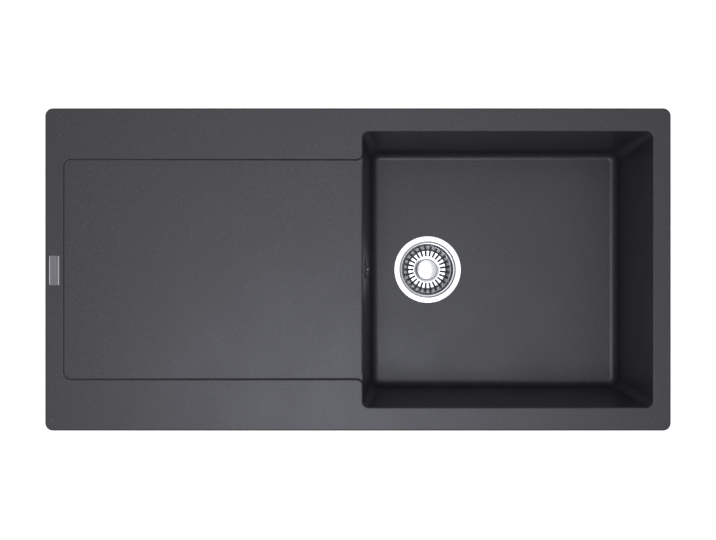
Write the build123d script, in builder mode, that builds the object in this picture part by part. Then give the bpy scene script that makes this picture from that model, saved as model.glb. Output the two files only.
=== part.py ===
from build123d import *
import os
from math import atan, cos, pi, radians, sin, tan

# Kitchen sink with drainboard: one square bowl, a plain drainer, a basket waste, an overflow
# and the clamps that hold the sink in a worktop. Millimetres, +Z up. X runs along the sink,
# with the bowl at +X and the drainer at -X. +Y is the back. Z = 0 is the top of the worktop,
# where the underside of the rim rests, and the origin is the centre of the rim's outline.

os.makedirs("parts", exist_ok=True)

# ---------------------------------------------------------------- driving dimensions

# rim and wall of the moulded body
rim_length = 970.0
rim_width = 500.0
rim_height = 8.0
rim_corner_radius = 12.0
rim_edge_radius = 2.5
wall = 9.0
ledge_left = 28.4
ledge_right = 28.0
ledge_side = 36.0

# bowl
bowl_length = 450.0
bowl_depth = 200.0
bowl_draft = 4.7
bowl_floor_fall = 0.5
bowl_corner_radius = 10.0
bowl_floor_corner_radius = 17.0
bowl_floor_radius = 12.0
bowl_rim_radius = 2.0

# drainer: a recess that opens into the bowl and falls towards it
drainer_narrower = 42.8
drainer_corner_radius = 12.0
step_at_left = 3.0
step_at_bowl = 5.5
step_draft = 20.0
step_edge_radius = 1.4
step_foot_radius = 1.8
nose_radius = 10.5
nose_turn = 75.0
lip_radius = 3.0
lip_run_out = 12.0
lip_end_radius = 0.3
drainer_cut_past_bowl = 42.5

# metal inlay on the left ledge
inlay_width = 16.0
inlay_length = 45.7
inlay_thickness = 1.0
inlay_corner_radius = 1.5
inlay_proud = 0.2
inlay_from_edge = 6.3
inlay_offset = -1.5

# sealing strip under the rim
seal_width = 5.0
seal_depth = 1.5
seal_from_edge = 3.0

# basket waste: the hole, the steel cup and its flange
waste_from_bowl_edge = 112.0
waste_hole_radius = 45.0
waste_hole_chamfer = 4.0
flange_radius = 57.0
flange_bright_width = 9.0
flange_step_width = 1.6
flange_step_depth = 1.6
sheet = 1.0
flange_seal_thickness = 1.0
cup_radius = 43.0
cup_depth = 36.0
cup_seat_width = 14.0
dish_depth = 7.0
drain_holes = 8
drain_hole_radius = 4.5
drain_hole_circle = 17.0

# slotted basket
basket_radius = 40.5
basket_floor_radius = 33.5
basket_floor_depth = 28.0
basket_top_depth = 3.0
basket_lip = 1.6
basket_corner_radius = 3.0
basket_slots = 25
basket_slot_width = 3.2
basket_slot_inner_radius = 23.0
basket_slot_height = 9.0
basket_dish_radius = 22.0
basket_dish_top_radius = 15.5
basket_dish_rise = 2.5
basket_bend_radius = 1.5

# knob, stem and rubber seal of the basket
knob_radius = 18.0
knob_depth = 12.0
knob_thickness = 6.0
knob_neck_radius = 7.0
knob_edge_radius = 2.0
knob_dome_rise = 2.0
knob_shoulder = 1.0
stem_radius = 3.0
stem_entry = 4.0
stem_chamfer = 1.0
stem_collar_radius = 6.0
basket_seal_radius = 32.0
basket_seal_thickness = 5.0
stem_washer_inset = 1.0

# screw and nut that clamp the cup to the waste body
waste_screw_radius = 4.0
waste_screw_head_radius = 8.0
waste_screw_head_height = 5.5
waste_nut_flats = 13.0
waste_nut_height = 6.5

# plastic waste body
gasket_thickness = 3.0
gasket_width = 11.0
waste_flange_radius = 58.0
waste_flange_thickness = 4.0
waste_body_radius = 52.0
waste_body_wall = 3.0
waste_body_floor_drop = 15.0
funnel_height = 14.0
outlet_radius = 23.9
outlet_wall = 3.4
outlet_length = 24.0
hub_radius = 10.0
hub_top_gap = 2.0
hub_height = 14.0
spider_ribs = 4
spider_rib_width = 3.0
spider_ledge = 4.0

# overflow
overflow_depth = 50.0
overflow_hole_radius = 12.5
overflow_cover_radius = 16.0
overflow_cover_rise = 3.5
overflow_cover_shoulder_radius = 12.0
overflow_cover_shoulder_rise = 2.4
overflow_holes = 8
overflow_hole_size = 2.4
overflow_hole_circle = 9.5
overflow_screw_radius = 2.5
overflow_screw_head_radius = 4.5
overflow_screw_head_height = 2.5
overflow_seal_radius = 19.0
overflow_seal_thickness = 2.5
elbow_flange_radius = 20.0
elbow_flange_thickness = 3.0
elbow_radius = 15.0
elbow_wall = 2.5
elbow_reach = 18.0
elbow_drop = 40.0
elbow_hub_radius = 4.5
elbow_hub_length = 9.0
elbow_ribs = 3
elbow_rib_width = 2.0

# hose between the overflow and the waste body, and its unions
hose_radius = 12.5
hose_wall = 2.0
hose_bend_radius = 55.0
socket_radius = 14.5
socket_depth = 10.0
port_reach = 20.0
port_drop = 20.0
union_nut_radius = 17.5
union_nut_rib = 1.2
union_nut_ribs = 8
union_nut_length = 16.0
union_nut_lip = 3.0
hose_ring_thickness = 2.0

# fixing clamps
clamp_from_left_end = 155.0
clamp_from_bowl_left = 33.0
clamp_from_bowl_right = 57.0
clamp_from_corner = 140.0
clamp_from_wall = 6.5
clamp_inset = 20.5
boss_radius = 7.5
boss_height = 24.0
dowel_radius = 4.5
dowel_flange_radius = 6.0
dowel_flange_thickness = 1.2
dowel_top_gap = 1.0
clamp_screw_radius = 2.5
clamp_screw_engagement = 5.0
clamp_screw_length = 33.0
clamp_screw_chamfer = 0.8
clamp_head_radius = 4.6
clamp_head_height = 3.2
clamp_socket_size = 2.2
clamp_socket_depth = 1.6
claw_width = 14.0
claw_reach = 26.0
claw_thickness = 2.0
claw_tip_height = 6.0
claw_bend_radius = 1.0
claw_teeth = 3
claw_tooth_depth = 1.6

# fits
running_fit = 0.05
seat_gap = 0.3
cut_over = 1.0

# ---------------------------------------------------------------- places worked out from them

drawn_in = tan(radians(bowl_draft))
half_length = rim_length / 2
half_width = rim_width / 2
bowl_width = rim_width - 2 * ledge_side
drainer_width = bowl_width - 2 * drainer_narrower
bowl_right_x = half_length - ledge_right
bowl_left_x = bowl_right_x - bowl_length
bowl_middle_x = bowl_left_x + bowl_length / 2
bowl_floor_z = rim_height - bowl_depth
underside_z = bowl_floor_z - wall

drainer_left_x = ledge_left - half_length
drainer_half = drainer_width / 2
drainer_length = bowl_left_x - drainer_left_x
drainer_fall = (step_at_bowl - step_at_left) / drainer_length

waste_x = bowl_left_x + waste_from_bowl_edge
waste_axis = Axis((waste_x, 0, 0), (0, 0, 1))
waste_section = Plane(origin=(waste_x, 0, 0), x_dir=(1, 0, 0), z_dir=(0, -1, 0))
flange_top_z = bowl_floor_z
flange_seat_z = flange_top_z - sheet - flange_seal_thickness
cup_seat_z = flange_top_z - cup_depth
dish_z = cup_seat_z - dish_depth
cup_seat_inner = cup_radius - cup_seat_width
gasket_z = underside_z - gasket_thickness
waste_flange_z = gasket_z - waste_flange_thickness
waste_inner = waste_body_radius - waste_body_wall
waste_floor_z = dish_z - waste_body_floor_drop
outlet_top_z = waste_floor_z - funnel_height
outlet_end_z = outlet_top_z - outlet_length
outlet_inner = outlet_radius - outlet_wall
hub_top_z = dish_z - sheet - hub_top_gap
hub_bottom_z = hub_top_z - hub_height
port_z = gasket_z - waste_flange_thickness - port_drop
port_end_x = waste_x - waste_body_radius - port_reach

overflow_z = rim_height - overflow_depth
overflow_x = bowl_left_x + overflow_depth * drawn_in
overflow_face = Plane(
    origin=(overflow_x, 0, overflow_z),
    x_dir=(0, 1, 0),
    z_dir=(cos(radians(bowl_draft)), 0, sin(radians(bowl_draft))),
)
wall_across = wall * cos(radians(bowl_draft))
elbow_face = overflow_face.offset(-wall_across - overflow_seal_thickness)
elbow_x = elbow_face.origin.X - elbow_reach
elbow_mouth_z = overflow_z - elbow_drop
hose_inner = hose_radius - hose_wall


def drawn(z):
    """How far the bowl's wall has moved inwards at height z."""
    return (rim_height - z) * drawn_in


def corner_at(z):
    """Radius of the bowl's upright corners at height z: it grows from the rim to the floor."""
    share = (rim_height - z) / bowl_depth
    return bowl_corner_radius + (bowl_floor_corner_radius - bowl_corner_radius) * share


def outward(x, y):
    """Direction, in degrees about Z, from a clamp at x, y to the edge of the rim beside it."""
    if half_length - abs(x) < half_width - abs(y):
        return 180.0
    return 90.0 if y > 0 else -90.0


def clamp_points():
    """The clamps' upright axes: three along the back, three along the front, two at the left."""
    row = bowl_width / 2 + wall + clamp_from_wall
    along = (
        clamp_from_left_end - half_length,
        bowl_left_x + clamp_from_bowl_left,
        bowl_right_x - clamp_from_bowl_right,
    )
    points = [(x, y) for y in (row, -row) for x in along]
    end_y = half_width - clamp_from_corner
    points += [(clamp_inset - half_length, y) for y in (-end_y, end_y)]
    return points


# ---------------------------------------------------------------- moulded body


def drainer_sketch(height):
    """Drainer's outline at a height: half is drawn, a straight side and a round nose, then mirrored."""
    arc_x = bowl_left_x - nose_radius * sin(radians(nose_turn))
    arc_y = drainer_half + nose_radius
    past_bowl_x = bowl_left_x + drainer_cut_past_bowl
    with BuildSketch(Plane.XY.offset(height)) as outline:
        with BuildLine():
            side = Line((drainer_left_x + drainer_corner_radius, drainer_half), (arc_x, drainer_half))
            nose = CenterArc((arc_x, arc_y), nose_radius, -90, nose_turn)
            flare = PolarLine(nose @ 1, nose_radius, angle=nose_turn)
            across = Line(flare @ 1, (past_bowl_x, (flare @ 1).Y))
            Line(across @ 1, (past_bowl_x, 0))
            corner = CenterArc(
                (drainer_left_x + drainer_corner_radius, drainer_half - drainer_corner_radius),
                drainer_corner_radius, 90, 90,
            )
            Line(corner @ 1, (drainer_left_x, 0))
            mirror(about=Plane.XZ)
        make_face()
    return outline.sketch


def drainer_floor(depth):
    """The drainer's sloping floor, or a plane parallel to it that lies deeper."""
    return Plane(
        origin=(drainer_left_x, 0, rim_height - step_at_left - depth),
        x_dir=(1, 0, -drainer_fall),
        z_dir=(drainer_fall, 0, 1),
    )


def bowl_block(grow, top_z, bottom_z):
    """Tapered block with round corners: the bowl's hollow, or with grow its outer form."""
    with BuildPart() as block:
        for z in (top_z, bottom_z):
            with BuildSketch(Plane.XY.offset(z)):
                with Locations((bowl_middle_x, 0)):
                    RectangleRounded(
                        bowl_length - 2 * drawn(z) + 2 * grow,
                        bowl_width - 2 * drawn(z) + 2 * grow,
                        corner_at(z) + grow,
                    )
        loft(ruled=True)
    return block.part


lowest_cut_z = bowl_floor_z - wall

with BuildPart() as bowl_hollow:
    add(bowl_block(0, rim_height + cut_over, lowest_cut_z))
    # the floor falls to the waste, so a shallow cone takes the block's lower end away
    with BuildSketch(waste_section):
        with BuildLine():
            reach = bowl_length
            rise = reach * tan(radians(bowl_floor_fall))
            Polyline(
                (0, bowl_floor_z), (reach, bowl_floor_z + rise),
                (reach, lowest_cut_z - wall), (0, lowest_cut_z - wall), close=True,
            )
        make_face()
    revolve(axis=waste_axis, mode=Mode.SUBTRACT)
    floor_edges = bowl_hollow.edges().filter_by(
        lambda edge: edge.bounding_box().max.Z < bowl_floor_z + bowl_floor_radius / 2
    )
    fillet(floor_edges, bowl_floor_radius)

with BuildPart() as bowl_outside:
    add(bowl_block(wall, 0, underside_z))
    fillet(bowl_outside.faces().sort_by(Axis.Z)[0].edges(), bowl_floor_radius + wall)

with BuildPart() as drainer_hollow:
    # the sides lean outwards from the floor to the rim's top
    extrude(drainer_sketch(rim_height), amount=-rim_height, taper=step_draft)
    split(bisect_by=drainer_floor(0), keep=Keep.TOP)
    foot_edges = drainer_hollow.edges().filter_by(
        lambda edge: edge.bounding_box().max.Z < rim_height - step_at_left / 2
        and edge.center().X < bowl_left_x + nose_radius
    )
    fillet(foot_edges, step_foot_radius)
    extrude(drainer_sketch(rim_height), amount=cut_over)

with BuildPart() as drainer_underside:
    # wall under the recess; the block reaches below it and is cut off parallel to the floor
    under_block_height = step_at_bowl + wall
    with BuildSketch(Plane.XY.offset(-under_block_height)):
        with Locations((drainer_left_x + drainer_length / 2, 0)):
            RectangleRounded(
                drainer_length + 2 * wall, drainer_width + 2 * wall, drainer_corner_radius + wall
            )
    extrude(amount=under_block_height)
    split(bisect_by=drainer_floor(wall), keep=Keep.TOP)


def lip_section(y, radius):
    """Section, at y, of the sliver that rounds the edge between drainer floor and bowl wall."""
    floor_tilt = atan(drainer_fall)
    wall_tilt = radians(bowl_draft)
    tangent = radius / tan((pi / 2 + wall_tilt - floor_tilt) / 2)
    edge_x = bowl_left_x + step_at_bowl * drawn_in
    edge_z = rim_height - step_at_bowl
    on_floor = (edge_x - tangent * cos(floor_tilt), edge_z + tangent * sin(floor_tilt))
    on_wall = (edge_x + tangent * sin(wall_tilt), edge_z - tangent * cos(wall_tilt))
    with BuildSketch(Plane(origin=(0, y, 0), x_dir=(1, 0, 0), z_dir=(0, -1, 0))) as section:
        with BuildLine():
            Polyline(on_floor, (edge_x + radius, edge_z + radius), on_wall)
            RadiusArc(on_wall, on_floor, -radius)
        make_face()
    return section.sketch


with BuildPart() as lip_sliver:
    # full radius along the edge, run out to almost nothing at the drainer's two sides
    for y, radius in (
        (-drainer_half, lip_end_radius),
        (lip_run_out - drainer_half, lip_radius),
        (drainer_half - lip_run_out, lip_radius),
        (drainer_half, lip_end_radius),
    ):
        add(lip_section(y, radius))
    loft(ruled=True)


def at_rim_top(edge):
    return edge.bounding_box().min.Z > rim_height - running_fit


with BuildPart() as sink_body:
    with BuildSketch():
        RectangleRounded(rim_length, rim_width, rim_corner_radius)
    extrude(amount=rim_height)
    add(bowl_outside.part)
    add(drainer_underside.part)
    # a boss for each clamp's dowel
    with BuildSketch():
        with Locations(*clamp_points()):
            Circle(boss_radius)
    extrude(amount=-boss_height)
    # the bowl, with its rounded rim, then the rim's own rounded edge
    add(bowl_hollow.part, mode=Mode.SUBTRACT)
    rim_top_edges = sink_body.edges().filter_by(at_rim_top)
    bowl_rim_edges = rim_top_edges.filter_by(
        lambda edge: edge.bounding_box().min.X > 0
        and edge.bounding_box().max.X < half_length - ledge_right / 2
        and abs(edge.center().Y) < bowl_width / 2 + running_fit
    )
    fillet(bowl_rim_edges, bowl_rim_radius)
    outline_edges = sink_body.faces().filter_by(at_rim_top).sort_by(Axis.Z)[-1].outer_wire().edges()
    fillet(outline_edges, rim_edge_radius)
    # the drainer's recess, open to the bowl, and the rounding of its edges
    add(drainer_hollow.part, mode=Mode.SUBTRACT)
    step_edges = sink_body.edges().filter_by(at_rim_top).filter_by(
        lambda edge: edge.bounding_box().min.X > drainer_left_x - ledge_left / 2
        and edge.bounding_box().max.X < bowl_left_x
        and edge.bounding_box().min.X < bowl_left_x - bowl_rim_radius - running_fit
        and abs(edge.center().Y) < drainer_half + nose_radius
    )
    fillet(step_edges, step_edge_radius)
    add(lip_sliver.part, mode=Mode.SUBTRACT)
    # groove for the sealing strip
    with BuildSketch() as seal_groove:
        RectangleRounded(
            rim_length - 2 * seal_from_edge, rim_width - 2 * seal_from_edge,
            rim_corner_radius - seal_from_edge,
        )
        RectangleRounded(
            rim_length - 2 * seal_from_edge - 2 * seal_width,
            rim_width - 2 * seal_from_edge - 2 * seal_width,
            rim_corner_radius - seal_from_edge - seal_width,
            mode=Mode.SUBTRACT,
        )
    extrude(amount=seal_depth, mode=Mode.SUBTRACT)
    # pocket for the inlay
    with BuildSketch(Plane.XY.offset(rim_height)):
        with Locations((inlay_from_edge + inlay_width / 2 - half_length, inlay_offset)):
            RectangleRounded(
                inlay_width + 2 * running_fit, inlay_length + 2 * running_fit, inlay_corner_radius
            )
    extrude(amount=inlay_proud - inlay_thickness, mode=Mode.SUBTRACT)
    # seat of the flange and the waste's hole
    with BuildSketch(Plane.XY.offset(flange_seat_z)):
        with Locations((waste_x, 0)):
            Circle(flange_radius + seat_gap)
    extrude(amount=bowl_floor_radius, mode=Mode.SUBTRACT)
    with BuildSketch(Plane.XY.offset(underside_z)):
        with Locations((waste_x, 0)):
            Circle(waste_hole_radius)
    extrude(amount=wall, mode=Mode.SUBTRACT)
    seat_edges = sink_body.edges().filter_by_position(
        Axis.Z, flange_seat_z - running_fit, flange_seat_z + running_fit
    )
    chamfer(seat_edges.sort_by(SortBy.LENGTH)[0], waste_hole_chamfer)
    # overflow hole, square to the wall
    with BuildSketch(overflow_face):
        Circle(overflow_hole_radius)
    extrude(amount=-2 * wall, mode=Mode.SUBTRACT)
    # blind holes for the dowels
    with BuildSketch(Plane.XY.offset(-boss_height)):
        with Locations(*clamp_points()):
            Circle(dowel_radius + running_fit)
    extrude(amount=boss_height - dowel_top_gap, mode=Mode.SUBTRACT)
sink_body.part.label = "sink_body"
export_step(sink_body.part, "parts/sink_body.step")

# ---------------------------------------------------------------- strips and inlay of the rim

with BuildPart() as rim_seal:
    with BuildSketch():
        RectangleRounded(
            rim_length - 2 * seal_from_edge - 2 * running_fit,
            rim_width - 2 * seal_from_edge - 2 * running_fit,
            rim_corner_radius - seal_from_edge - running_fit,
        )
        RectangleRounded(
            rim_length - 2 * seal_from_edge - 2 * seal_width + 2 * running_fit,
            rim_width - 2 * seal_from_edge - 2 * seal_width + 2 * running_fit,
            rim_corner_radius - seal_from_edge - seal_width + running_fit,
            mode=Mode.SUBTRACT,
        )
    extrude(amount=seal_depth)
rim_seal.part.label = "rim_seal"
export_step(rim_seal.part, "parts/rim_seal.step")

with BuildPart() as inlay_plate:
    with BuildSketch(Plane.XY.offset(rim_height + inlay_proud - inlay_thickness)):
        with Locations((inlay_from_edge + inlay_width / 2 - half_length, inlay_offset)):
            RectangleRounded(inlay_width, inlay_length, inlay_corner_radius - running_fit)
    extrude(amount=inlay_thickness)
    chamfer(inlay_plate.faces().sort_by(Axis.Z)[-1].edges(), inlay_proud)
inlay_plate.part.label = "inlay_plate"
export_step(inlay_plate.part, "parts/inlay_plate.step")

# ---------------------------------------------------------------- steel cup of the waste

cup_wall_top = flange_top_z - flange_step_depth
flange_flat_inner = flange_radius - flange_bright_width

with BuildPart() as strainer_cup:
    # one sheet: flange, step, wall, seat and dish, drawn as its upper face and thickened
    with BuildSketch(waste_section) as cup_sheet:
        with BuildLine() as upper_face:
            FilletPolyline(
                (flange_radius, flange_top_z),
                (flange_flat_inner, flange_top_z),
                (flange_flat_inner - flange_step_width, cup_wall_top),
                (cup_radius, cup_wall_top - flange_step_width),
                (cup_radius, cup_seat_z),
                (cup_seat_inner, cup_seat_z),
                (cup_seat_inner - dish_depth / 2, dish_z),
                (waste_screw_radius + running_fit, dish_z),
                radius=sheet,
            )
            offset(amount=sheet, side=Side.LEFT, closed=True)
        make_face()
    revolve(axis=waste_axis)
    flange_rim = strainer_cup.edges().group_by(Axis.Z)[-1].sort_by(SortBy.LENGTH)[-1]
    fillet(flange_rim, sheet / 2)
    # drain holes round the screw
    with BuildSketch(Plane.XY.offset(dish_z)):
        with Locations((waste_x, 0)):
            with PolarLocations(drain_hole_circle, drain_holes):
                Circle(drain_hole_radius)
    extrude(amount=-2 * sheet, mode=Mode.SUBTRACT)
strainer_cup.part.label = "strainer_cup"
export_step(strainer_cup.part, "parts/strainer_cup.step")

with BuildPart() as flange_seal:
    with BuildSketch(Plane.XY.offset(flange_seat_z)):
        with Locations((waste_x, 0)):
            Circle(flange_radius - seat_gap)
            Circle(waste_hole_radius + waste_hole_chamfer, mode=Mode.SUBTRACT)
    extrude(amount=flange_seal_thickness)
flange_seal.part.label = "flange_seal"
export_step(flange_seal.part, "parts/flange_seal.step")

with BuildPart() as lower_gasket:
    with BuildSketch(Plane.XY.offset(gasket_z)):
        with Locations((waste_x, 0)):
            Circle(waste_flange_radius - sheet)
            Circle(waste_flange_radius - sheet - gasket_width, mode=Mode.SUBTRACT)
    extrude(amount=gasket_thickness)
lower_gasket.part.label = "lower_gasket"
export_step(lower_gasket.part, "parts/lower_gasket.step")

# ---------------------------------------------------------------- lift-out basket

basket_floor_z = flange_top_z - basket_floor_depth
basket_top_z = flange_top_z - basket_top_depth
knob_top_z = flange_top_z - knob_depth
knob_under_z = knob_top_z - knob_thickness
basket_seal_top_z = cup_seat_z + basket_seal_thickness
stem_washer_radius = basket_dish_top_radius - stem_washer_inset
stem_end_z = dish_z + waste_screw_head_height - stem_entry

with BuildPart() as strainer_basket:
    # sheet cup with a rolled-out lip and a low cone in the middle of its floor
    with BuildSketch(waste_section):
        with BuildLine():
            FilletPolyline(
                (basket_radius + basket_lip, basket_top_z),
                (basket_radius, basket_top_z - sheet),
                (basket_floor_radius, basket_floor_z),
                (basket_dish_radius, basket_floor_z),
                (basket_dish_top_radius, basket_floor_z + basket_dish_rise),
                (stem_radius + running_fit, basket_floor_z + basket_dish_rise),
                radius=(sheet / 2, basket_corner_radius, basket_bend_radius, basket_bend_radius),
            )
            offset(amount=sheet, side=Side.LEFT, closed=True)
        make_face()
    revolve(axis=waste_axis)
    # radial slots that run over the corner and up the wall
    with BuildSketch(Plane.XY.offset(basket_floor_z - 2 * sheet)):
        with Locations((waste_x, 0)):
            with PolarLocations(0, basket_slots, start_angle=180 / basket_slots):
                with Locations(((basket_slot_inner_radius + basket_radius) / 2, 0)):
                    Rectangle(basket_radius - basket_slot_inner_radius, basket_slot_width)
    extrude(amount=basket_slot_height + 2 * sheet, mode=Mode.SUBTRACT)
strainer_basket.part.label = "strainer_basket"
export_step(strainer_basket.part, "parts/strainer_basket.step")

with BuildPart() as basket_knob:
    with BuildSketch(waste_section) as knob_section:
        with BuildLine():
            dome = ThreePointArc(
                (0, knob_top_z),
                (knob_radius / 2, knob_top_z - knob_dome_rise / 4),
                (knob_radius - knob_shoulder, knob_top_z - knob_dome_rise),
            )
            Polyline(
                dome @ 1, (knob_radius, knob_top_z - knob_dome_rise - knob_shoulder),
                (knob_radius, knob_under_z),
                (knob_neck_radius + knob_edge_radius, knob_under_z),
                (knob_neck_radius, knob_under_z - knob_edge_radius),
                (knob_neck_radius, basket_floor_z + basket_dish_rise),
                (0, basket_floor_z + basket_dish_rise), dome @ 0,
            )
        make_face()
        fillet(knob_section.vertices().group_by(Axis.X)[-1], knob_edge_radius / 2)
    revolve(axis=waste_axis)
    # blind hole for the stem
    with BuildSketch(Plane.XY.offset(basket_floor_z)):
        with Locations((waste_x, 0)):
            Circle(stem_radius)
    extrude(amount=knob_under_z - basket_floor_z, mode=Mode.SUBTRACT)
basket_knob.part.label = "basket_knob"
export_step(basket_knob.part, "parts/basket_knob.step")

with BuildPart() as basket_stem:
    with BuildSketch(Plane.XY.offset(stem_end_z)):
        with Locations((waste_x, 0)):
            Circle(stem_radius)
    extrude(amount=knob_under_z - stem_end_z)
    chamfer(basket_stem.faces().sort_by(Axis.Z)[0].edges(), stem_chamfer)
    # collar that carries the seal
    with BuildSketch(Plane.XY.offset(cup_seat_z)):
        with Locations((waste_x, 0)):
            Circle(stem_collar_radius)
    extrude(amount=-sheet)
basket_stem.part.label = "basket_stem"
export_step(basket_stem.part, "parts/basket_stem.step")

with BuildPart() as basket_seal:
    with BuildSketch(waste_section):
        with BuildLine():
            Polyline(
                (stem_radius, cup_seat_z), (basket_seal_radius - sheet, cup_seat_z),
                (basket_seal_radius, cup_seat_z + sheet),
                (basket_seal_radius, cup_seat_z + 2 * sheet),
                (stem_washer_radius + sheet, basket_seal_top_z),
                (stem_radius, basket_seal_top_z), close=True,
            )
        make_face()
    revolve(axis=waste_axis)
basket_seal.part.label = "basket_seal"
export_step(basket_seal.part, "parts/basket_seal.step")

with BuildPart() as stem_washer:
    with BuildSketch(Plane.XY.offset(basket_seal_top_z)):
        with Locations((waste_x, 0)):
            Circle(stem_washer_radius)
            Circle(stem_radius, mode=Mode.SUBTRACT)
    extrude(amount=basket_floor_z + basket_dish_rise - sheet - basket_seal_top_z)
stem_washer.part.label = "stem_washer"
export_step(stem_washer.part, "parts/stem_washer.step")

# ---------------------------------------------------------------- waste body under the sink

with BuildPart() as waste_body:
    with BuildSketch(waste_section):
        with BuildLine():
            Polyline(
                (waste_flange_radius, gasket_z), (waste_flange_radius, waste_flange_z),
                (waste_body_radius, waste_flange_z), (waste_body_radius, waste_floor_z),
                (outlet_radius, outlet_top_z), (outlet_radius, outlet_end_z),
                (outlet_inner, outlet_end_z), (outlet_inner, outlet_top_z + waste_body_wall),
                (waste_inner - spider_ledge, waste_floor_z + waste_body_wall),
                (waste_inner, waste_floor_z + waste_body_wall), (waste_inner, gasket_z),
                close=True,
            )
        make_face()
    revolve(axis=waste_axis)
    # port for the overflow hose, towards the drainer
    with BuildSketch(Plane(origin=(port_end_x, 0, port_z), x_dir=(0, 1, 0), z_dir=(1, 0, 0))) as port:
        Circle(socket_radius)
    extrude(amount=waste_x - port_end_x - waste_inner)
    with BuildSketch(port.workplanes[0]):
        Circle(hose_radius + seat_gap)
    extrude(amount=socket_depth, mode=Mode.SUBTRACT)
    with BuildSketch(port.workplanes[0]):
        Circle(hose_inner)
    extrude(amount=waste_x - port_end_x - waste_inner + waste_body_wall, mode=Mode.SUBTRACT)
waste_body.part.label = "waste_body"
export_step(waste_body.part, "parts/waste_body.step")

with BuildPart() as waste_spider:
    # hub for the screw on radial ribs, clear of the port, whose ends stand on the funnel's ledge
    with BuildSketch(Plane.XY.offset(hub_bottom_z)):
        with Locations((waste_x, 0)):
            Circle(hub_radius)
    extrude(amount=hub_height)
    rib_foot_z = waste_floor_z + waste_body_wall
    with BuildSketch(Plane.XY.offset(rib_foot_z)):
        with Locations((waste_x, 0)):
            with PolarLocations(0, spider_ribs, start_angle=180 / spider_ribs):
                Rectangle(
                    waste_inner - running_fit, spider_rib_width, align=(Align.MIN, Align.CENTER)
                )
            Circle(waste_inner - running_fit, mode=Mode.INTERSECT)
    extrude(amount=hub_top_z - rib_foot_z)
    with BuildSketch(Plane.XY.offset(hub_bottom_z)):
        with Locations((waste_x, 0)):
            Circle(waste_screw_radius + running_fit)
    extrude(amount=hub_height, mode=Mode.SUBTRACT)
    with BuildSketch(Plane.XY.offset(hub_bottom_z)):
        with Locations((waste_x, 0)):
            RegularPolygon(waste_nut_flats / 2 + running_fit, 6, major_radius=False)
    extrude(amount=waste_nut_height, mode=Mode.SUBTRACT)
waste_spider.part.label = "waste_spider"
export_step(waste_spider.part, "parts/waste_spider.step")

with BuildPart() as waste_nut:
    with BuildSketch(Plane.XY.offset(hub_bottom_z)):
        with Locations((waste_x, 0)):
            RegularPolygon(waste_nut_flats / 2, 6, major_radius=False)
            Circle(waste_screw_radius + running_fit, mode=Mode.SUBTRACT)
    extrude(amount=waste_nut_height)
waste_nut.part.label = "waste_nut"
export_step(waste_nut.part, "parts/waste_nut.step")

with BuildPart() as waste_screw:
    with BuildSketch(Plane.XY.offset(hub_bottom_z)):
        with Locations((waste_x, 0)):
            Circle(waste_screw_radius)
    extrude(amount=dish_z - hub_bottom_z)
    with BuildSketch(Plane.XY.offset(dish_z)):
        with Locations((waste_x, 0)):
            Circle(waste_screw_head_radius)
    extrude(amount=waste_screw_head_height)
    fillet(waste_screw.faces().sort_by(Axis.Z)[-1].edges(), sheet)
    # socket for the end of the basket's stem
    with BuildSketch(Plane.XY.offset(dish_z + waste_screw_head_height)):
        with Locations((waste_x, 0)):
            Circle(stem_radius + running_fit)
    extrude(amount=-stem_entry - seat_gap, mode=Mode.SUBTRACT)
waste_screw.part.label = "waste_screw"
export_step(waste_screw.part, "parts/waste_screw.step")

# ---------------------------------------------------------------- overflow

overflow_axis = Axis(overflow_face.origin, overflow_face.z_dir)
cover_section = Plane(
    origin=overflow_face.origin, x_dir=(0, 1, 0), z_dir=Vector(0, 1, 0).cross(overflow_face.z_dir)
)
elbow_mouth = Plane(origin=(elbow_x, 0, elbow_mouth_z), x_dir=(0, 1, 0), z_dir=(0, 0, -1))
port_mouth = Plane(origin=(port_end_x, 0, port_z), x_dir=(0, 1, 0), z_dir=(-1, 0, 0))
elbow_height = overflow_z + elbow_radius + elbow_wall - elbow_mouth_z

with BuildPart() as overflow_cover:
    # shallow dome of sheet whose rim sits on the bowl's wall
    with BuildSketch(cover_section):
        with BuildLine():
            Polyline(
                (0, overflow_cover_rise - sheet), (0, overflow_cover_rise),
                (overflow_screw_head_radius, overflow_cover_rise),
            )
            ThreePointArc(
                (overflow_screw_head_radius, overflow_cover_rise),
                (overflow_cover_shoulder_radius, overflow_cover_shoulder_rise),
                (overflow_cover_radius, 0),
            )
            Line((overflow_cover_radius, 0), (overflow_cover_radius - sheet, 0))
            ThreePointArc(
                (overflow_cover_radius - sheet, 0),
                (overflow_cover_shoulder_radius - sheet, overflow_cover_shoulder_rise - sheet / 2),
                (overflow_screw_head_radius, overflow_cover_rise - sheet),
            )
            Line(
                (overflow_screw_head_radius, overflow_cover_rise - sheet),
                (0, overflow_cover_rise - sheet),
            )
        make_face()
    revolve(axis=overflow_axis)
    with BuildSketch(overflow_face):
        Circle(overflow_screw_radius + running_fit)
        with PolarLocations(overflow_hole_circle, overflow_holes):
            Circle(overflow_hole_size)
    extrude(amount=overflow_cover_rise + sheet, mode=Mode.SUBTRACT)
overflow_cover.part.label = "overflow_cover"
export_step(overflow_cover.part, "parts/overflow_cover.step")

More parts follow.
